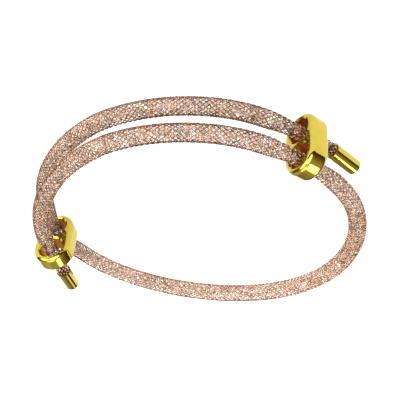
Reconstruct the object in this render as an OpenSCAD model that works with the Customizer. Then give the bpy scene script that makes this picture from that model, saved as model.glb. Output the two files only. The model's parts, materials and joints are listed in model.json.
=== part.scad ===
// Adjustable bracelet: a woven wire tube filled with cut crystals, two slider beads and two end caps.
// Millimetres. The bracelet lies on the XY plane and its wrist opening runs along Z.
// Angles round the ring start at the near side (-Y) and grow towards +X.

/* [Mesh tube] */
// Outer diameter of the mesh tube
tube_d = 3.8; // [3:0.1:4.2]
// Thickness of the woven wall
weave_wall = 0.35; // [0.25:0.05:0.5]
// How much thicker the tube is at the middle of the single strand
swell = 0.4; // [0:0.05:0.6]
// How much thinner the tube is where a slider pinches it
pinch = 0.8; // [0:0.1:1]
// Length over which the tube swells again beside a slider
pinch_reach = 7; // [2:0.5:10]
// Diameter of the bare neck between a slider and its end cap
neck_d = 3; // [2.6:0.1:3.2]
// Length of bare neck between the first slider and its cap
start_neck = 5.1; // [2:0.1:8]
// Length of bare neck between the last slider and its cap
end_neck = 3.5; // [2:0.1:8]

/* [Ring] */
// Radius of the ring, measured at the middle of the tube
ring_r = 34; // [28:0.5:40]
// Clear height between the two strands that run side by side
strand_gap = 2.6; // [2:0.1:4]
// Angle round the ring of the first slider
start_angle = -33.5; // [-60:0.5:-10]
// Angle round the ring of the last slider
end_angle = 111.5; // [80:0.5:130]
// How far both strands leave the ring inwards at the first slider
start_lean = 0.5; // [0:0.05:0.5]
// How many degrees round the ring they do so before and after that slider
lean_reach = 30; // [10:1:30]
// Radius of the flatter arc that both strands follow up to the last slider
flat_r = 36.9; // [35:0.1:38]
// How many degrees less than the ring that arc has turned at the last slider
flat_turn = 3.4; // [0:0.1:4]
// Angle round the ring at which the strands begin to leave it for that arc
flat_from = 28; // [20:1:36]
// Angle round the ring from which they follow that arc
flat_to = 46; // [38:1:46]
// How many degrees past the last slider they take to come back to the ring
flat_fade = 15; // [10:1:30]

/* [Single strand] */
// How far the single strand bows out of the ring
bow = 1.3; // [-2:0.1:3]
// How much more it bows beside the last slider than beside the first
bow_lean = 3.8; // [-4:0.1:5]
// How much more it bows near both sliders than at its middle
bow_shoulder = -1.6; // [-3:0.1:3]
// How far the single strand sags below a straight climb
sag = 3.6; // [0:0.1:4]
// How much more it sags beside the last slider than beside the first
sag_lean = 1.3; // [-2:0.1:2]
// How much more it sags near both sliders than at its middle
sag_shoulder = 0.7; // [-1:0.1:1]

/* [Slider beads] */
// Thickness of a slider along the tube
slider_t = 4.2; // [3:0.1:4.6]
// Metal beside the holes, across the ring
slider_side = 1.6; // [1.2:0.1:2.5]
// Metal beyond the holes, at the round ends
slider_tip = 1.15; // [1:0.05:2.5]
// Gap between the tube and its hole when the tube is centred
hole_clear = 0.7; // [0.65:0.05:0.75]
// How far each strand bears outwards from the middle of its hole
strand_bear = 0.25; // [0.2:0.05:0.25]
// How far the first slider hangs out of the ring
start_shift = 0.2; // [0:0.05:0.25]
// How many degrees the top of the last slider tilts back along the tube
end_tilt = 7; // [0:0.5:7]
// How many degrees the top of the last slider, and of its strands, leans into the ring
end_roll = 3; // [0:0.5:4]
// Radius of the slider's rounded edges
slider_edge = 1; // [0.3:0.05:1]
// Width of the bevel at the mouth of each hole
hole_bevel = 0.3; // [0.1:0.05:0.3]

/* [End caps] */
// Outer diameter of an end cap
cap_d = 3.3; // [3:0.1:4]
// Length of an end cap
cap_len = 7.3; // [6:0.1:10]
// Wall of an end cap
cap_wall = 0.3; // [0.25:0.05:0.4]
// Length of tube held inside an end cap
cap_grip = 4.4; // [3:0.1:5]
// Gap round the tube inside an end cap
cap_clear = 0.1; // [0.05:0.05:0.15]
// Radius of the rounded closed end
cap_edge = 0.45; // [0.2:0.05:0.8]

/* [Crystals] */
// Gap between a crystal and the woven wall, where the tube is pinched
stone_clear = 0.2; // [0.15:0.05:0.5]
// Clear length of tube between two crystals
stone_gap = 0.2; // [0.15:0.05:1]
// Tilt of every other crystal in the tube
stone_tilt = 20; // [0:5:30]

/* [Hidden] */
$fn = 64;

// Sides of the tube, longest step between its rings, and steps of the table that measures it
tube_sides = 14;
ring_step = 3.2;
table_steps = 240;
// Sides of a crystal, and its table, crown, girdle and pavilion as shares of its diameter
stone_sides = 8;
stone_table = 0.58;
stone_crown = 0.16;
stone_girdle = 0.06;
stone_pavilion = 0.36;
// Turn from each crystal to the next, about the tube
stone_turn = 137.5;
// Length of the step from the neck down to the tube held in a cap, and end play of that tube
neck_step = 0.3;
end_play = 0.2;

tube_r = tube_d / 2;
strand_pitch = tube_d + strand_gap;
hole_r = tube_r + hole_clear;
hole_pitch = strand_pitch - 2 * strand_bear;
slider_w = 2 * (hole_r + slider_side);
slider_len = hole_pitch + 2 * (hole_r + slider_tip);
tip_pitch = slider_len - slider_w;
cap_bore_r = cap_d / 2 - cap_wall;
held_r = cap_bore_r - cap_clear;
stone_d = tube_d - pinch - 2 * (weave_wall + stone_clear);

// Where a tail's neck leads: how far out and up from the strand it ends, as shares of the neck's length,
// and how many degrees the cap's axis turns outwards and climbs
NECK = 0;
MOUTH_OUT = 1;
MOUTH_UP = 2;
CAP_TURN = 3;
CAP_CLIMB = 4;
start_tail = [start_neck, -0.1, -0.04, -9.6, -0.7];
end_tail = [end_neck, 0.07, 0.23, 9.6, -6];

function unit(v) = v / norm(v);
function mix(a, b, t) = a + (b - a) * t;
function clamp(t) = min(max(t, 0), 1);
function ease(t) = let (c = clamp(t)) c * c * (3 - 2 * c);
function hump(t) = pow(sin(180 * clamp(t)), 2);
function outward(a) = [sin(a), -cos(a), 0];
function onward(a) = [cos(a), sin(a), 0];
function on_ring(a, r, z) = r * outward(a) + [0, 0, z];
function arc_angle(length) = length / ring_r * 180 / PI;

// Each slider runs along both strands: the first one round the ring's centre, the last one round the centre
// of the flatter arc
arc_from = start_angle - arc_angle(slider_t / 2);
arc_to = end_angle + arc_angle(slider_t / 2);
flat_centre = ring_r * outward(end_angle) - flat_r * outward(end_angle - flat_turn);

// Distance of a strand from the ring's centre
function near(a, at) = 1 - ease(abs(a - at) / lean_reach);
function flat_share(a) = ease((a - flat_from) / (flat_to - flat_from)) * (1 - ease((a - arc_to) / flat_fade));
function strand_r(a, z) =
    let (toward = outward(a) * flat_centre,
         flat = toward + sqrt(flat_r * flat_r - flat_centre * flat_centre + toward * toward) - z * tan(end_roll))
    ring_r - start_lean * (near(a, start_angle) + near(a, start_angle + 360)) + flat_share(a) * (flat - ring_r);
function double_strand(a, z) = on_ring(a, strand_r(a, z), z);

function single_strand(u) =
    let (w = hump(u), skew = cos(180 * u), shoulder = cos(360 * u), a = mix(arc_to, 360 + arc_from, u),
         z = strand_pitch * (ease(u) - 0.5) - w * (sag + sag_lean * skew + sag_shoulder * shoulder))
    on_ring(a, strand_r(a, z) + w * (bow + bow_lean * skew + bow_shoulder * shoulder), z);

// The whole route between the tails: 0 to 1 lower strand, 1 to 2 single strand, 2 to 3 upper strand
function route(q) =
    q < 1 ? double_strand(mix(arc_from, arc_to, q), -strand_pitch / 2) :
    q < 2 ? single_strand(q - 1) :
    double_strand(mix(arc_from, arc_to, q - 2), strand_pitch / 2);

route_ends = 3;
route_table = [for (i = 0, s = 0; i <= table_steps;
    s = s + norm(route((i + 1) / table_steps * route_ends) - route(i / table_steps * route_ends)), i = i + 1)
    [s, i / table_steps * route_ends]];
route_len = route_table[table_steps][0];
function route_at(s) = route(lookup(s, route_table));

// Distances along the route at which the sliders pinch the tube, and its outer radius
pinch_at = [for (a = [start_angle, end_angle]) for (strand = [0, 2])
    lookup(strand + (a - arc_from) / (arc_to - arc_from), [for (t = route_table) [t[1], t[0]]])];
function route_r(s) =
    let (d = min([for (p = pinch_at) abs(s - p)]))
    tube_r + swell / 2 * hump(lookup(s, route_table) - 1)
    - pinch / 2 * (1 - ease((d - slider_t / 2) / pinch_reach));

// A tail leaves its slider along the strand and bends into its cap
function cap_axis(tail, angle, way) =
    cos(tail[CAP_CLIMB]) * (cos(tail[CAP_TURN]) * way * onward(angle) + sin(tail[CAP_TURN]) * outward(angle))
    + [0, 0, sin(tail[CAP_CLIMB])];
function cap_mouth(tail, angle, way, z) =
    on_ring(angle, ring_r + tail[MOUTH_OUT] * tail[NECK], z + tail[MOUTH_UP] * tail[NECK])
    + (slider_t / 2 + tail[NECK]) * way * onward(angle);
function bend(p, p_way, q, q_way, t) =
    let (h = norm(q - p) / 3)
    pow(1 - t, 3) * p + 3 * pow(1 - t, 2) * t * (p + h * p_way)
    + 3 * (1 - t) * t * t * (q - h * q_way) + pow(t, 3) * q;

// Rows of a tail from its slider to its end: centre and outer radius
function tail_rows(tail, angle, way, z, from, from_r) =
    let (mouth = cap_mouth(tail, angle, way, z), axis = cap_axis(tail, angle, way),
         exit = double_strand(from, z), neck_end = mouth - neck_step * axis)
    [for (t = [0.25, 0.5, 0.75, 1])
        [bend(exit, way * onward(from), neck_end, axis, t), mix(from_r, neck_d / 2, t)],
     [mouth, held_r], [mouth + cap_grip / 2 * axis, held_r], [mouth + cap_grip * axis, held_r]];

start_rows = tail_rows(start_tail, start_angle, -1, -strand_pitch / 2, arc_from, route_r(0));
end_rows = tail_rows(end_tail, end_angle, 1, strand_pitch / 2, arc_to, route_r(route_len));
ring_count = ceil(route_len / ring_step);
tube_rows = concat(
    [for (i = [len(start_rows) - 1:-1:0]) start_rows[i]],
    [for (i = [0:ring_count]) let (s = i / ring_count * route_len) [route_at(s), route_r(s)]],
    end_rows);

// The way the tube runs at one of its rows
function row_way(i) =
    let (last = len(tube_rows) - 1,
         before = i > 0 ? unit(tube_rows[i][0] - tube_rows[i - 1][0]) : [0, 0, 0],
         after = i < last ? unit(tube_rows[i + 1][0] - tube_rows[i][0]) : [0, 0, 0])
    unit(before + after);
function ring_of(centre, way, r) =
    let (side = unit(cross(way, [0, 0, 1])), up = cross(side, way))
    [for (j = [0:tube_sides - 1])
        let (a = 360 * j / tube_sides) centre + r * (cos(a) * side + sin(a) * up)];
function skin(thinner) =
    [for (i = [0:len(tube_rows) - 1])
        for (p = ring_of(tube_rows[i][0], row_way(i), tube_rows[i][1] - thinner)) p];

// Each slider: the centre that it runs round, its distance from there and its angle round it, and how its top
// tilts back along the tube and leans inwards
CENTRE = 0;
RADIUS = 1;
ANGLE = 2;
TILT = 3;
ROLL = 4;
start_slider = [[0, 0, 0], ring_r + start_shift, start_angle, 0, 0];
end_slider = [flat_centre, flat_r, end_angle - flat_turn, end_tilt, end_roll];

// How far the bracelet reaches in a direction
outer_skin = skin(0);
function slider_reach(slider, d) =
    let (a = slider[ANGLE], tilt = slider[TILT], roll = slider[ROLL],
         side_way = cos(roll) * outward(a) + [0, 0, sin(roll)], up = [0, 0, cos(roll)] - sin(roll) * outward(a),
         bore_way = cos(tilt) * onward(a) + sin(tilt) * up, tip_way = cos(tilt) * up - sin(tilt) * onward(a))
    (slider[CENTRE] + slider[RADIUS] * outward(a)) * d + tip_pitch / 2 * abs(tip_way * d) + slider_edge
    + (slider_w / 2 - slider_edge) * norm([side_way * d, tip_way * d])
    + (slider_t / 2 - slider_edge) * abs(bore_way * d);
function reach(d) =
    max(max([for (p = outer_skin) p * d]), slider_reach(start_slider, d), slider_reach(end_slider, d));

// The frame's origin lies under the middle of the bracelet, on the surface that it rests on
x_way = [1, 0, 0];
y_way = [0, 1, 0];
ring_centre = [(reach(-x_way) - reach(x_way)) / 2, (reach(-y_way) - reach(y_way)) / 2, reach([0, 0, -1])];

module mesh_sleeve() {
    n = tube_sides;
    m = len(tube_rows);
    function at(i, j, inner) = (inner ? m * n : 0) + i * n + j % n;
    outside = [for (i = [0:m - 2]) for (j = [0:n - 1])
        [at(i, j, false), at(i, j + 1, false), at(i + 1, j + 1, false), at(i + 1, j, false)]];
    inside = [for (i = [0:m - 2]) for (j = [0:n - 1])
        [at(i, j, true), at(i + 1, j, true), at(i + 1, j + 1, true), at(i, j + 1, true)]];
    rims = [for (j = [0:n - 1]) each [
        [at(0, j, false), at(0, j, true), at(0, j + 1, true), at(0, j + 1, false)],
        [at(m - 1, j, true), at(m - 1, j, false), at(m - 1, j + 1, false), at(m - 1, j + 1, true)]]];
    color("#c58a6d") translate(ring_centre)
        polyhedron(concat(outer_skin, skin(weave_wall)), concat(outside, inside, rims));
}

// A cut stone: table, crown, girdle and a pointed pavilion
module crystal() {
    n = stone_sides;
    function round_at(r, z) = [for (j = [0:n - 1]) [r * cos(360 * j / n), r * sin(360 * j / n), z]];
    girdle_z = stone_girdle * stone_d / 2;
    points = concat(
        round_at(stone_table * stone_d / 2, girdle_z + stone_crown * stone_d),
        round_at(stone_d / 2, girdle_z),
        round_at(stone_d / 2, -girdle_z),
        [[0, 0, -girdle_z - stone_pavilion * stone_d]]);
    bands = [for (k = [0, 1]) for (j = [0:n - 1])
        [k * n + j, k * n + (j + 1) % n, (k + 1) * n + (j + 1) % n, (k + 1) * n + j]];
    point = [for (j = [0:n - 1]) [2 * n + j, 2 * n + (j + 1) % n, 3 * n]];
    table = [[for (j = [n - 1:-1:0]) j]];
    polyhedron(points, concat(table, bands, point));
}

module crystal_fill() {
    count = floor((route_len - stone_d) / (stone_d + stone_gap));
    step = (route_len - stone_d) / count;
    nudge = 0.01;
    color("#efe9ee") translate(ring_centre) for (i = [0:count]) {
        s = stone_d / 2 + i * step;
        way = unit(route_at(s + nudge) - route_at(s - nudge));
        translate(route_at(s))
            rotate([0, -asin(way[2]), atan2(way[1], way[0])])
            rotate([i * stone_turn, 0, 0])
            rotate([0, i % 2 == 0 ? stone_tilt : -stone_tilt, 0])
            crystal();
    }
}

// Section of a slider from its middle plane out to its rounded edge
module edge_profile(width) {
    translate([0, -slider_t / 2]) square([width - slider_edge, slider_t]);
    translate([0, -slider_t / 2 + slider_edge]) square([width, slider_t - 2 * slider_edge]);
    for (y = [-1, 1]) translate([width - slider_edge, y * (slider_t / 2 - slider_edge)]) circle(slider_edge);
}

// A slider with its holes along Z and its round ends along X
module slider_bead() {
    difference() {
        union() {
            for (x = [-1, 1]) translate([x * tip_pitch / 2, 0, 0]) rotate_extrude() edge_profile(slider_w / 2);
            rotate([90, 0, 90]) linear_extrude(tip_pitch, center = true)
                for (x = [0, 1]) mirror([x, 0]) edge_profile(slider_w / 2);
        }
        for (x = [-1, 1]) translate([x * hole_pitch / 2, 0, 0]) {
            cylinder(h = 2 * slider_t, r = hole_r, center = true);
            for (z = [0, 1]) mirror([0, 0, z]) translate([0, 0, slider_t / 2 - hole_bevel])
                cylinder(h = 2 * hole_bevel, r1 = hole_r, r2 = hole_r + 2 * hole_bevel);
        }
    }
}

module place_slider(slider) {
    color("#d9b72e") translate(ring_centre + slider[CENTRE]) rotate([0, 0, slider[ANGLE]])
        translate([0, -slider[RADIUS], 0]) rotate([-slider[ROLL], 0, 0]) rotate([0, 90 - slider[TILT], 0])
        slider_bead();
}

module slider_start() {
    place_slider(start_slider);
}

module slider_end() {
    place_slider(end_slider);
}

// A cap with its mouth at the origin and its closed end along Z
module end_cap() {
    rotate_extrude() difference() {
        union() {
            square([cap_d / 2, cap_len - cap_edge]);
            square([cap_d / 2 - cap_edge, cap_len]);
            translate([cap_d / 2 - cap_edge, cap_len - cap_edge]) circle(cap_edge);
        }
        square([cap_bore_r, cap_grip + end_play]);
    }
}

module cap_at(tail, angle, way, z) {
    axis = cap_axis(tail, angle, way);
    color("#d9b72e") translate(ring_centre) translate(cap_mouth(tail, angle, way, z))
        rotate([0, acos(axis[2]), atan2(axis[1], axis[0])]) end_cap();
}

module end_cap_start() {
    cap_at(start_tail, start_angle, -1, -strand_pitch / 2);
}

module end_cap_end() {
    cap_at(end_tail, end_angle, 1, strand_pitch / 2);
}

mesh_sleeve();
crystal_fill();
slider_start();
slider_end();
end_cap_start();
end_cap_end();
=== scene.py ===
"""Looks of the mesh bracelet: braided wires, the cut crystals in them, and polished gold beads and caps.

The tube's route repeats the formulas of the part's source, in millimetres from the ring's centre, and every
new piece follows that route. Meshes are written in metres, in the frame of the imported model.
"""
import json
import math

import bpy
import numpy as np
from mathutils import Matrix, Vector


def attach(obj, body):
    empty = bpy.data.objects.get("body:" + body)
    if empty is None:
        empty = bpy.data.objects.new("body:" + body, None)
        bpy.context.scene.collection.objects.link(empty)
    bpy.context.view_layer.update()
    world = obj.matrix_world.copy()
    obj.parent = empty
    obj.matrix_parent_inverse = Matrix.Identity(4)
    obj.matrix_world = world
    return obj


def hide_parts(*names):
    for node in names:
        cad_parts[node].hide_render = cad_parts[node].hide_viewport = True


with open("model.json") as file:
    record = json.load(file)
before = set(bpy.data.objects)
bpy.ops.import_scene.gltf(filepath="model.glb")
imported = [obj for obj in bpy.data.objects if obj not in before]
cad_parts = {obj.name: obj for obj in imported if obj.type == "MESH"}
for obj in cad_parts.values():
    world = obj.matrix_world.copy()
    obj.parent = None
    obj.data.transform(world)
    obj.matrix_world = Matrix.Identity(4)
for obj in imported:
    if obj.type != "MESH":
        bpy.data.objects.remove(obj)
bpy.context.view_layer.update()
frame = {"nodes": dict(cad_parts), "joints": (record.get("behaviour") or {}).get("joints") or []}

MM = 0.001
RING_CENTRE = np.array(frame["joints"][0]["pos_m"]) / MM

# The tube and its route, as in the part's source
TUBE_R = 1.9
WEAVE_WALL = 0.35
SWELL = 0.4
PINCH = 0.8
PINCH_REACH = 7.0
NECK_R = 1.5
RING_R = 34.0
STRAND_PITCH = 6.4
START_ANGLE = -33.5
END_ANGLE = 111.5
START_LEAN, LEAN_REACH = 0.5, 30.0
FLAT_R, FLAT_TURN = 36.9, 3.4
FLAT_FROM, FLAT_TO, FLAT_FADE = 28.0, 46.0, 15.0
END_ROLL = 3.0
BOW, BOW_LEAN, BOW_SHOULDER = 1.3, 3.8, -1.6
SAG, SAG_LEAN, SAG_SHOULDER = 3.6, 1.3, 0.7
SLIDER_T = 4.2
HELD_R = 1.25
CAP_GRIP = 4.4
NECK_STEP = 0.3
# Each tail: neck length, how far out and up it leads as shares of that, the cap's turn and climb in degrees
START_TAIL = (5.1, -0.1, -0.04, -9.6, -0.7)
END_TAIL = (3.5, 0.07, 0.23, 9.6, -6.0)

# Points along each double strand, the single strand and a tail, and half the step that gives their direction
ARC_POINTS, SINGLE_POINTS, TAIL_POINTS = 900, 1300, 60
HALF_STEP = 0.15

# The braid: wires each way, length of one turn, wire radius, and how far a wire rises and dips at a crossing
WIRES = 12
BRAID_LEAD = 13.0
WIRE_R = 0.085
WIRE_RISE = 0.085
WIRE_SIDES = 5
STEPS_A_CELL = 6
# Share by which a wire is thicker where it crosses over the other, and thinner where it dips under it
KNUCKLE = 0.3
# Painted light: how much brighter the wires are painted on the necks and on the single strand, and over what
# length that comes in
NECK_SHINE, NECK_FADE = 0.3, 2.0
ALONE_SHINE, ALONE_FADE = 0.25, 15.0

# A stone of diameter 1: radius and height of its table, half the height of its girdle, depth of its tip
TABLE_R, TABLE_Z, GIRDLE_Z, TIP_Z = 0.3, 0.2, 0.03, 0.42
# Radii of the large stones, how far out in the tube each lies, and the least advance from one to the next
LARGE_R = (1.0, 1.2)
LARGE_OUT = (0.6, 1)
LARGE_STEP = 1.4
# Radii and tries of each smaller size, and the radius above which a stone is cut like the large ones
SMALLER = (((0.6, 0.85), 14000), ((0.38, 0.55), 60000))
FULL_CUT_R = 0.58
# Clear space round each stone, and how much of its sphere its flat shape needs
STONE_CLEAR = 0.03
STONE_ROOM = 0.72
# Half the length at each slider that holds no stones
BORE_BARE = 1.2
STONE_TINTS = np.array([
    (1.0, 0.92, 0.83),
    (1.0, 0.84, 0.77),
    (1.0, 0.87, 0.70),
    (1.0, 0.79, 0.64),
    (1.0, 0.76, 0.62),
])
# The dullest stone's tone, the share of facets that mirror, and how much these and the others do so
STONE_DULLEST = 0.85
MIRROR_SHARE, MIRRORS, CLEAR = 0.15, 0.9, 0.1
SEED = 7

# Soft lamps in the studio: azimuth from +X and elevation, degrees from middle to edge, and radiance
LAMPS = (
    (170, 56, 10, 11.0),
    (140, 50, 12, 11.0),
    (119, 17, 8, 1.6),
    (62, 20, 35, 0.5),
    (60, 76, 26, 3.0),
    (-80, 38, 30, 7.0),
    (-25, 30, 30, 4.5),
)


def ease(t):
    """Smooth step from 0 to 1."""
    c = np.clip(t, 0, 1)
    return c * c * (3 - 2 * c)


def hump(t):
    """Smooth rise from 0 to 1 and back to 0."""
    return np.sin(np.pi * np.clip(t, 0, 1)) ** 2


def outward(angle):
    """Unit vectors out of the ring at angles in degrees."""
    a = np.radians(angle)
    return np.stack([np.sin(a), -np.cos(a), 0 * a], -1)


def onward(angle):
    """Unit vectors along the ring at angles in degrees."""
    a = np.radians(angle)
    return np.stack([np.cos(a), np.sin(a), 0 * a], -1)


def on_ring(angle, r, z):
    """Points at an angle, radius and height, from the ring's centre."""
    angle, r, z = np.broadcast_arrays(np.asarray(angle, float), r, z)
    return r[..., None] * outward(angle) + z[..., None] * np.array([0.0, 0.0, 1.0])


def unit(v):
    """Vectors of length 1."""
    return v / np.linalg.norm(v, axis=-1, keepdims=True)


HALF_SLIDER_ARC = math.degrees(SLIDER_T / 2 / RING_R)
ARC_FROM = START_ANGLE - HALF_SLIDER_ARC
ARC_TO = END_ANGLE + HALF_SLIDER_ARC
FLAT_CENTRE = RING_R * outward(END_ANGLE) - FLAT_R * outward(END_ANGLE - FLAT_TURN)


def strand_r(angle, z):
    """Distance of a strand from the ring's centre: the ring, or the flatter arc to the last slider.

    Near the first slider the strands lean in a little.
    """
    toward = outward(angle) @ FLAT_CENTRE
    reach = np.sqrt(FLAT_R**2 - FLAT_CENTRE @ FLAT_CENTRE + toward**2)
    flat = toward + reach - z * math.tan(math.radians(END_ROLL))
    rise = ease((angle - FLAT_FROM) / (FLAT_TO - FLAT_FROM))
    share = rise * (1 - ease((angle - ARC_TO) / FLAT_FADE))
    starts = (START_ANGLE, START_ANGLE + 360)
    near = sum(1 - ease(np.abs(angle - at) / LEAN_REACH) for at in starts)
    return RING_R - START_LEAN * near + share * (flat - RING_R)


def double_strand(angle, z):
    """One of the two strands that run side by side."""
    return on_ring(angle, strand_r(angle, z), z)


def single_strand(u):
    """The single strand from the last slider round to the first one."""
    w = hump(u)
    skew = np.cos(np.pi * u)
    shoulder = np.cos(2 * np.pi * u)
    angle = ARC_TO + (360 + ARC_FROM - ARC_TO) * u
    z = STRAND_PITCH * (ease(u) - 0.5) - w * (SAG + SAG_LEAN * skew + SAG_SHOULDER * shoulder)
    bow = w * (BOW + BOW_LEAN * skew + BOW_SHOULDER * shoulder)
    return on_ring(angle, strand_r(angle, z) + bow, z)


def lengths_along(points):
    """Distance along a polyline at each of its points."""
    return np.concatenate([[0], np.cumsum(np.linalg.norm(np.diff(points, axis=0), axis=1))])


def tail(values, angle, way, z, leaves, leaves_r):
    """Centres and outer radii of a tail, from its slider to its end inside the cap."""
    neck, out, up, turn, climb = values
    turn, climb = math.radians(turn), math.radians(climb)
    axis = math.cos(climb) * (math.cos(turn) * way * onward(angle) + math.sin(turn) * outward(angle))
    axis = axis + np.array([0, 0, math.sin(climb)])
    foot = on_ring(angle, RING_R + out * neck, z + up * neck)
    mouth = foot + (SLIDER_T / 2 + neck) * way * onward(angle)
    start, end = double_strand(leaves, z), mouth - NECK_STEP * axis
    handle = np.linalg.norm(end - start) / 3
    t = np.linspace(0, 1, TAIL_POINTS)[:, None]
    curve = (
        (1 - t) ** 3 * start
        + 3 * (1 - t) ** 2 * t * (start + handle * way * onward(leaves))
        + 3 * (1 - t) * t ** 2 * (end - handle * axis)
        + t ** 3 * end
    )
    radii = leaves_r + (NECK_R - leaves_r) * t[:, 0]
    held = mouth + np.array([[0.0], [CAP_GRIP / 2], [CAP_GRIP]]) * axis
    return np.concatenate([curve, held]), np.concatenate([radii, [HELD_R] * 3])


def tube_route():
    """Centres and outer radii along the tube from cap to cap, where its strands meet, and its pinches."""
    arc = np.linspace(ARC_FROM, ARC_TO, ARC_POINTS)
    u = np.linspace(0, 1, SINGLE_POINTS)[1:-1]
    lower, upper = double_strand(arc, -STRAND_PITCH / 2), double_strand(arc, STRAND_PITCH / 2)
    body = np.concatenate([lower, single_strand(u), upper])
    along = lengths_along(body)
    firsts = (0, len(body) - len(arc))
    at_sliders = [int(np.argmin(np.abs(arc - angle))) for angle in (START_ANGLE, END_ANGLE)]
    pinches = [along[first + place] for first in firsts for place in at_sliders]
    nearest = np.min([np.abs(along - p) for p in pinches], axis=0)
    swollen = np.concatenate([0 * arc, hump(u), 0 * arc])
    pinched = 1 - ease((nearest - SLIDER_T / 2) / PINCH_REACH)
    radii = TUBE_R + SWELL / 2 * swollen - PINCH / 2 * pinched
    head, head_r = tail(START_TAIL, START_ANGLE, -1, -STRAND_PITCH / 2, ARC_FROM, radii[0])
    foot, foot_r = tail(END_TAIL, END_ANGLE, 1, STRAND_PITCH / 2, ARC_TO, radii[-1])
    points = np.concatenate([head[:0:-1], body, foot[1:]])
    all_radii = np.concatenate([head_r[:0:-1], radii, foot_r[1:]])
    before = lengths_along(head)[-1]
    return points, all_radii, before + along[[0, len(arc) - 1, firsts[1], -1]], before + pinches


ROUTE_POINTS, ROUTE_RADII, JOINS, PINCHES = tube_route()
ROUTE_LENGTHS = lengths_along(ROUTE_POINTS)
BODY_FROM, LOWER_TO, SINGLE_TO, BODY_TO = JOINS


def along_tube(s):
    """Centre, way, side, up and outer radius of the tube at distances along it."""

    def at(x):
        return np.stack([np.interp(x, ROUTE_LENGTHS, ROUTE_POINTS[:, k]) for k in range(3)], -1)

    way = unit(at(s + HALF_STEP) - at(s - HALF_STEP))
    side = unit(np.cross(way, [0.0, 0.0, 1.0]))
    return at(s), way, side, np.cross(side, way), np.interp(s, ROUTE_LENGTHS, ROUTE_RADII)


def new_object(name, points, faces, material, smooth=True):
    """A mesh object from points in millimetres from the ring's centre."""
    mesh = bpy.data.meshes.new(name)
    mesh.from_pydata(((points + RING_CENTRE) * MM).tolist(), [], faces)
    mesh.polygons.foreach_set("use_smooth", [smooth] * len(mesh.polygons))
    mesh.materials.append(material)
    obj = bpy.data.objects.new(name, mesh)
    bpy.context.scene.collection.objects.link(obj)
    return obj


def wire_rings(s):
    """Rings of points round every wire of the braid at distances along the tube: wire, distance, side, xyz.

    Also how high each ring stands, from -1 where its wire dips to 1 where it crosses over.
    """
    centre, _, side, up, outer = along_tube(s)
    corners = np.linspace(0, 2 * np.pi, WIRE_SIDES, endpoint=False)
    cosines, sines = np.cos(corners)[None, :, None], np.sin(corners)[None, :, None]
    wires, heights = [], []
    for hand in (1, -1):
        height = hand * np.cos(2 * np.pi * WIRES * s / BRAID_LEAD)
        r = (outer - WIRE_R * (1 + KNUCKLE) - WIRE_RISE + WIRE_RISE * height)[:, None]
        thick = (WIRE_R * (1 + KNUCKLE * height))[:, None, None]
        for k in range(WIRES):
            turn = (hand * 2 * np.pi * s / BRAID_LEAD + 2 * np.pi * k / WIRES)[:, None]
            radial = np.cos(turn) * side + np.sin(turn) * up
            line = centre + r * radial
            way = unit(np.gradient(line, axis=0))
            out = unit(radial - np.sum(radial * way, axis=1, keepdims=True) * way)
            across = np.cross(way, out)
            ring = cosines * out[:, None] + sines * across[:, None]
            wires.append(line[:, None] + thick * ring)
            heights.append(height)
    return np.array(wires), np.array(heights)


def tube_faces(wires, rings, sides):
    """Faces of closed tubes whose points run wire by wire, ring by ring."""
    w, i, j = np.meshgrid(np.arange(wires), np.arange(rings - 1), np.arange(sides), indexing="ij")
    base = w * rings * sides + i * sides
    nxt = (j + 1) % sides
    quads = np.stack([base + j, base + nxt, base + sides + nxt, base + sides + j], -1).reshape(-1, 4)
    faces = quads.tolist()
    for k in range(wires):
        first = k * rings * sides
        last = first + (rings - 1) * sides
        faces.append(list(range(first + sides - 1, first - 1, -1)))
        faces.append(list(range(last, last + sides)))
    return faces


def weave_pieces(material):
    """The braid, in one piece for each strand."""
    total = ROUTE_LENGTHS[-1]
    count = int(round(total / (BRAID_LEAD / WIRES) * STEPS_A_CELL))
    s = np.linspace(0, total, count + 1)
    rings, heights = wire_rings(s)
    bare = 1 - ease((s - BODY_FROM) / NECK_FADE) + ease((s - BODY_TO) / NECK_FADE + 1)
    alone = ease((s - LOWER_TO) / ALONE_FADE) * ease((SINGLE_TO - s) / ALONE_FADE)
    # Painted light on the wires: lighter where a wire crosses over and darker where it dips under it, and
    # brighter on the necks and on the single strand
    shine = 0.5 + 0.5 * heights + NECK_SHINE * bare + ALONE_SHINE * alone
    cuts = [0] + [int(np.argmin(np.abs(s - cut))) for cut in (LOWER_TO, SINGLE_TO)] + [count]
    pieces = []
    for name, a, b in zip(("weave_lower", "weave_single", "weave_upper"), cuts, cuts[1:]):
        part = rings[:, a : b + 1]
        faces = tube_faces(part.shape[0], part.shape[1], WIRE_SIDES)
        piece = new_object(name, part.reshape(-1, 3), faces, material)
        painted_light = piece.data.attributes.new("painted_wire_light", "FLOAT", "POINT")
        painted_light.data.foreach_set("value", np.repeat(shine[:, a : b + 1].ravel(), WIRE_SIDES))
        pieces.append(piece)
    return pieces


def plain_cut(sides):
    """Points and faces of a stone of diameter 1, table up, with one row of facets above and one below."""
    turn = np.arange(sides) * 2 * np.pi / sides
    ring = np.stack([np.cos(turn), np.sin(turn), 0 * turn], -1)
    up = np.array([0.0, 0.0, 1.0])
    points = np.concatenate([
        TABLE_R * ring + TABLE_Z * up,
        0.5 * ring + GIRDLE_Z * up,
        0.5 * ring - GIRDLE_Z * up,
        [-TIP_Z * up],
    ])
    faces = [list(range(sides))]
    for j in range(sides):
        k = (j + 1) % sides
        faces.append([j, sides + j, sides + k, k])
        faces.append([sides + j, 2 * sides + j, 2 * sides + k, sides + k])
        faces.append([2 * sides + j, 3 * sides, 2 * sides + k])
    return points, faces


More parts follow.
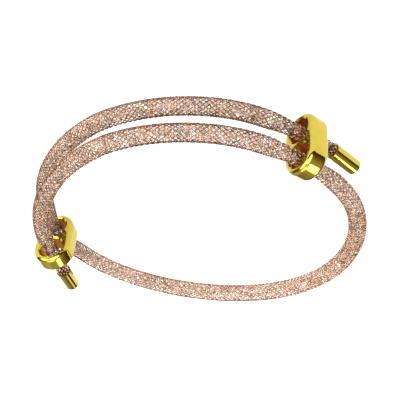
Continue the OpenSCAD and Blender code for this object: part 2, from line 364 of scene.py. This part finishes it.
def random_turns(rng, count):
    """Random rotation matrices."""
    q = unit(rng.normal(size=(count, 4)))
    w, x, y, z = q.T
    return np.stack([
        np.stack([1 - 2 * (y * y + z * z), 2 * (x * y - z * w), 2 * (x * z + y * w)], -1),
        np.stack([2 * (x * y + z * w), 1 - 2 * (x * x + z * z), 2 * (y * z - x * w)], -1),
        np.stack([2 * (x * z - y * w), 2 * (y * z + x * w), 1 - 2 * (x * x + y * y)], -1),
    ], 1)


def packed_stones(rng):
    """Stones packed in the tube: rows of distance along it, two offsets across it, and radius."""

    def room_at(s):
        return np.interp(s, ROUTE_LENGTHS, ROUTE_RADII) - WEAVE_WALL

    def bare(s):
        return min(abs(s - p) for p in PINCHES) < BORE_BARE

    stones = []
    s = BODY_FROM + LARGE_R[1]
    while s < BODY_TO - LARGE_R[1]:
        room = room_at(s) - STONE_CLEAR
        r = min(rng.uniform(*LARGE_R), room)
        turn = rng.uniform(0, 2 * np.pi)
        off = (room - r) * rng.uniform(*LARGE_OUT)
        x, y = off * math.cos(turn), off * math.sin(turn)
        if stones:
            last = stones[-1]
            apart = STONE_ROOM * (r + last[3]) + STONE_CLEAR
            gap = apart ** 2 - (x - last[1]) ** 2 - (y - last[2]) ** 2
            s = max(s, last[0] + math.sqrt(gap))
        if not bare(s):
            stones.append((s, x, y, r))
        s += LARGE_STEP
    placed = np.zeros((len(stones) + sum(tries for _, tries in SMALLER), 4))
    placed[: len(stones)] = stones
    count = len(stones)
    for radii, tries in SMALLER:
        for _ in range(tries):
            s, r = rng.uniform(BODY_FROM, BODY_TO), rng.uniform(*radii)
            turn, share = rng.uniform(0, 2 * np.pi), math.sqrt(rng.uniform(0, 1))
            off = (room_at(s) - STONE_CLEAR - r) * share
            spot = np.array([s, off * math.cos(turn), off * math.sin(turn)])
            near = placed[:count][np.abs(placed[:count, 0] - s) < LARGE_R[1] + r]
            apart = np.linalg.norm(near[:, :3] - spot, axis=1) - STONE_ROOM * (near[:, 3] + r)
            if not bare(s) and (apart > STONE_CLEAR).all():
                placed[count] = (*spot, r)
                count += 1
    return placed[:count]


def crystal_piece(name, stones, sides, dullest, rng, material):
    """Cut stones, each turned at random, with a tint for every stone and a tone for every facet, which is a
    painted reflection standing in for the stone's inner reflections.
    """
    points, faces = plain_cut(sides)
    middle = (points.max(0) + points.min(0)) / 2
    centre, _, side, up, _ = along_tube(stones[:, 0])
    centre = centre + stones[:, 1:2] * side + stones[:, 2:3] * up
    turned = np.einsum("sij,pj->spi", random_turns(rng, len(stones)), points - middle)
    cloud = turned * (2 * stones[:, 3])[:, None, None] + centre[:, None]
    all_faces = [[i + k * len(points) for i in f] for k in range(len(stones)) for f in faces]
    obj = new_object(name, cloud.reshape(-1, 3), all_faces, material, smooth=False)
    gloss = obj.data.attributes.new("facet_gloss", "FLOAT", "FACE")
    mirrors = rng.uniform(0, 1, len(all_faces)) < MIRROR_SHARE
    gloss.data.foreach_set("value", np.where(mirrors, MIRRORS, CLEAR))
    tints = STONE_TINTS[rng.integers(0, len(STONE_TINTS), len(stones))]
    tints = tints * rng.uniform(STONE_DULLEST, 1.0, (len(stones), 1))
    # Painted reflection: each facet's tone stands in for the light of the stone's inner reflections
    colour = np.repeat(tints, len(faces), axis=0) * rng.uniform(dullest, 1.0, (len(all_faces), 1))
    sizes = [len(f) for f in all_faces]
    rgba = np.concatenate([np.repeat(colour, sizes, axis=0), np.ones((sum(sizes), 1))], axis=1)
    layer = obj.data.color_attributes.new("tint_and_facet_reflection", "FLOAT_COLOR", "CORNER")
    layer.data.foreach_set("color", rgba.ravel())
    return obj


def shader(name):
    """A new material, its node tree and its main shader."""
    material = bpy.data.materials.new(name)
    material.use_nodes = True
    tree = material.node_tree
    return material, tree, tree.nodes["Principled BSDF"]


def noise(tree, scale, detail=2.0):
    """A noise texture in object space, its scale in features per metre."""
    place = tree.nodes.new("ShaderNodeTexCoord")
    node = tree.nodes.new("ShaderNodeTexNoise")
    node.inputs["Scale"].default_value = scale
    node.inputs["Detail"].default_value = detail
    tree.links.new(place.outputs["Object"], node.inputs["Vector"])
    return node


def ramp(tree, source, stops):
    """A colour ramp between (position, colour) stops."""
    node = tree.nodes.new("ShaderNodeValToRGB")
    elements = node.color_ramp.elements
    elements[0].position, elements[0].color = stops[0][0], (*stops[0][1], 1)
    elements[1].position, elements[1].color = stops[-1][0], (*stops[-1][1], 1)
    for position, colour in stops[1:-1]:
        element = elements.new(position)
        element.color = (*colour, 1)
    tree.links.new(source, node.inputs["Fac"])
    return node


def spread(tree, source, low, high):
    """A value from 0 to 1 mapped to low to high."""
    node = tree.nodes.new("ShaderNodeMapRange")
    node.inputs["To Min"].default_value = low
    node.inputs["To Max"].default_value = high
    tree.links.new(source, node.inputs["Value"])
    return node


def calc(tree, operation, *values):
    """A math node between sockets and numbers."""
    node = tree.nodes.new("ShaderNodeMath")
    node.operation = operation
    for socket, value in zip(node.inputs, values):
        if isinstance(value, (int, float)):
            socket.default_value = value
        else:
            tree.links.new(value, socket)
    return node.outputs["Value"]


def openness(tree, reach, low, high, alone):
    """How open a spot lies, from 0 in a hole or corner to 1, within a reach in millimetres.

    With alone, only the object's own holes count, not what stands beside it.
    """
    shelter = tree.nodes.new("ShaderNodeAmbientOcclusion")
    shelter.samples = 8
    shelter.only_local = alone
    shelter.inputs["Distance"].default_value = reach * MM
    part = spread(tree, shelter.outputs["AO"], 0, 1)
    part.inputs["From Min"].default_value = low
    part.inputs["From Max"].default_value = high
    return part.outputs["Result"]


def painted_hole_reflection(tree, colour, painted_hole_colour, share):
    """Painted reflection: a colour that turns to a deeper one where it lies in a hole, standing in for the
    light that the metal throws on itself there.
    """
    mix = tree.nodes.new("ShaderNodeMix")
    mix.data_type = "RGBA"
    tree.links.new(share, mix.inputs["Factor"])
    mix.inputs[6].default_value = (*painted_hole_colour, 1)
    tree.links.new(colour, mix.inputs[7])
    return mix.outputs[2]


def copper_material():
    """Rose-gold wire with painted light: a bright painted highlight where it crosses over, brown painted
    shade where it dips, and a painted orange reflection in the sliders.
    """
    material, tree, bsdf = shader("rose_gold_wire")
    bsdf.inputs["Metallic"].default_value = 1.0
    painted_light = tree.nodes.new("ShaderNodeAttribute")
    painted_light.attribute_name = "painted_wire_light"
    # The ramp turns the painted light into colour: painted highlight where it is high, painted shade where
    # it is low
    shine = calc(tree, "MULTIPLY", painted_light.outputs["Fac"], 0.4)
    tone = calc(tree, "ADD", shine, noise(tree, 900).outputs["Fac"])
    colour = ramp(tree, calc(tree, "SUBTRACT", tone, 0.24), [
        (0.0, (0.05, 0.025, 0.017)),
        (0.35, (0.11, 0.06, 0.038)),
        (0.6, (0.28, 0.16, 0.105)),
        (0.85, (0.85, 0.60, 0.47)),
    ])
    # Painted reflection: deep orange in the sliders' bores and other sheltered spots among the stones, where
    # ambient occlusion is low
    share = openness(tree, 3.0, 0.0, 0.3, False)
    painted_hole_colour = painted_hole_reflection(tree, colour.outputs["Color"], (0.90, 0.38, 0.09), share)
    tree.links.new(painted_hole_colour, bsdf.inputs["Base Color"])
    rough = spread(tree, noise(tree, 2500).outputs["Fac"], 0.18, 0.38)
    tree.links.new(rough.outputs["Result"], bsdf.inputs["Roughness"])
    return material


def gold_material():
    """Polished yellow gold plating with faint polishing marks, duller inside the holes, where a deeper
    orange reflection is painted into its colour.
    """
    material, tree, bsdf = shader("polished_gold")
    bsdf.inputs["Metallic"].default_value = 1.0
    tone = noise(tree, 350)
    colour = ramp(tree, tone.outputs["Fac"], [(0.3, (0.43, 0.34, 0.048)), (0.7, (0.47, 0.38, 0.056))])
    # Painted reflection: deep orange inside the bead's own holes, where its ambient occlusion is low
    share = openness(tree, 6.0, 0.35, 0.9, True)
    painted_hole_colour = painted_hole_reflection(tree, colour.outputs["Color"], (0.50, 0.16, 0.02), share)
    tree.links.new(painted_hole_colour, bsdf.inputs["Base Color"])
    rough = spread(tree, noise(tree, 1500).outputs["Fac"], 0.05, 0.11)
    dull = calc(tree, "MULTIPLY", calc(tree, "SUBTRACT", 1, share), 0.4)
    tree.links.new(calc(tree, "ADD", rough.outputs["Result"], dull), bsdf.inputs["Roughness"])
    bump = tree.nodes.new("ShaderNodeBump")
    bump.inputs["Strength"].default_value = 0.05
    bump.inputs["Distance"].default_value = 0.0001
    tree.links.new(noise(tree, 700).outputs["Fac"], bump.inputs["Height"])
    tree.links.new(bump.outputs["Normal"], bsdf.inputs["Normal"])
    return material


def crystal_material():
    """Clear cut glass: its colour carries the stone's own tint and, for each facet, a painted reflection
    that stands in for its inner reflections.
    """
    material, tree, bsdf = shader("cut_crystal")
    bsdf.inputs["Roughness"].default_value = 0.05
    bsdf.inputs["IOR"].default_value = 1.6
    tone = tree.nodes.new("ShaderNodeVertexColor")
    tone.layer_name = "tint_and_facet_reflection"
    tree.links.new(tone.outputs["Color"], bsdf.inputs["Base Color"])
    gloss = tree.nodes.new("ShaderNodeAttribute")
    gloss.attribute_name = "facet_gloss"
    tree.links.new(gloss.outputs["Fac"], bsdf.inputs["Metallic"])
    return material


def floor_material():
    """A plain pale table top that gives off light of its own, so that it shows nearly white."""
    material, tree, bsdf = shader("pale_floor")
    tone = noise(tree, 40)
    colour = ramp(tree, tone.outputs["Fac"], [(0.3, (0.34, 0.34, 0.34)), (0.7, (0.36, 0.36, 0.36))])
    tree.links.new(colour.outputs["Color"], bsdf.inputs["Base Color"])
    bsdf.inputs["Roughness"].default_value = 0.7
    bsdf.inputs["Emission Color"].default_value = (1, 1, 1, 1)
    bsdf.inputs["Emission Strength"].default_value = 0.95
    return material


def add_floor():
    """The surface that the bracelet lies on, 3 m wide."""
    half = 1.5
    corners = [(-half, -half, 0), (half, -half, 0), (half, half, 0), (-half, half, 0)]
    mesh = bpy.data.meshes.new("floor")
    mesh.from_pydata(corners, [], [(0, 1, 2, 3)])
    mesh.materials.append(floor_material())
    floor = bpy.data.objects.new("floor", mesh)
    bpy.context.scene.collection.objects.link(floor)


def add_world():
    """A studio round the table: dark at the horizon, brighter overhead, with soft round lamps.

    The background itself is plain and pale.
    """
    world = bpy.data.worlds.new("studio")
    bpy.context.scene.world = world
    world.use_nodes = True
    tree = world.node_tree
    background = tree.nodes["Background"]
    place = tree.nodes.new("ShaderNodeTexCoord")
    split = tree.nodes.new("ShaderNodeSeparateXYZ")
    tree.links.new(place.outputs["Generated"], split.inputs["Vector"])
    sky = ramp(tree, split.outputs["Z"], [
        (0.0, (0.04, 0.025, 0.01)),
        (0.15, (0.10, 0.06, 0.03)),
        (0.4, (0.30, 0.23, 0.13)),
        (0.62, (0.52, 0.49, 0.42)),
        (0.8, (0.7, 0.69, 0.66)),
        (1.0, (1.2, 1.2, 1.2)),
    ])
    light = sky.outputs["Color"]
    for azimuth, elevation, half_width, radiance in LAMPS:
        az, el = math.radians(azimuth), math.radians(elevation)
        toward = (math.cos(el) * math.cos(az), math.cos(el) * math.sin(az), math.sin(el))
        dot = tree.nodes.new("ShaderNodeVectorMath")
        dot.operation = "DOT_PRODUCT"
        dot.inputs[1].default_value = toward
        tree.links.new(place.outputs["Generated"], dot.inputs[0])
        glow = tree.nodes.new("ShaderNodeMapRange")
        glow.interpolation_type = "SMOOTHSTEP"
        glow.inputs["From Min"].default_value = math.cos(math.radians(half_width))
        glow.inputs["To Max"].default_value = radiance
        tree.links.new(dot.outputs["Value"], glow.inputs["Value"])
        total = tree.nodes.new("ShaderNodeMix")
        total.data_type = "RGBA"
        total.blend_type = "ADD"
        total.inputs["Factor"].default_value = 1
        tree.links.new(light, total.inputs[6])
        tree.links.new(glow.outputs["Result"], total.inputs[7])
        light = total.outputs[2]
    path = tree.nodes.new("ShaderNodeLightPath")
    mix = tree.nodes.new("ShaderNodeMix")
    mix.data_type = "RGBA"
    tree.links.new(path.outputs["Is Camera Ray"], mix.inputs["Factor"])
    tree.links.new(light, mix.inputs[6])
    mix.inputs[7].default_value = (0.95, 0.95, 0.95, 1)
    tree.links.new(mix.outputs[2], background.inputs["Color"])


def add_camera():
    """The camera that the photograph's outlines fit: 35 degrees above the table, and held upside down."""
    elevation, roll = math.radians(35.316), math.radians(184.683)
    distance, shift_x, shift_y = 197.6, 0.122, 4.915
    focal_px, photo_px, sensor = 926.5, 400, 36.0
    back = np.array([0, -math.cos(elevation), math.sin(elevation)])
    right = np.array([1.0, 0, 0])
    up = np.array([0, math.sin(elevation), math.cos(elevation)])
    image_right = math.cos(roll) * right + math.sin(roll) * up
    image_up = -math.sin(roll) * right + math.cos(roll) * up
    place = (back * distance + image_right * shift_x + image_up * shift_y + RING_CENTRE) * MM
    data = bpy.data.cameras.new("camera")
    data.sensor_width = sensor
    data.lens = focal_px / photo_px * sensor
    data.clip_start, data.clip_end = 0.005, 20.0
    camera = bpy.data.objects.new("camera", data)
    rows = np.stack([image_right, image_up, back], axis=1)
    camera.matrix_world = Matrix.Translation(Vector(place)) @ Matrix(rows.tolist()).to_4x4()
    bpy.context.scene.collection.objects.link(camera)
    bpy.context.scene.camera = camera


add_camera()
add_floor()
add_world()

copper = copper_material()
for piece in weave_pieces(copper):
    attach(piece, "mesh_tube")
    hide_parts("mesh_sleeve")

glass = crystal_material()
rng = np.random.default_rng(SEED)
stones = packed_stones(rng)
large = stones[:, 3] > FULL_CUT_R
for piece in (
    crystal_piece("crystals_large", stones[large], 8, 0.6, rng, glass),
    crystal_piece("crystals_small", stones[~large], 6, 0.8, rng, glass),
):
    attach(piece, "mesh_tube")
    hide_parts("crystal_fill")

gold = gold_material()
for name in ("slider_start", "slider_end", "end_cap_start", "end_cap_end"):
    node = frame["nodes"][name]
    for held in node.material_slots:
        held.material = gold

bpy.context.scene.view_settings.view_transform = "Standard"
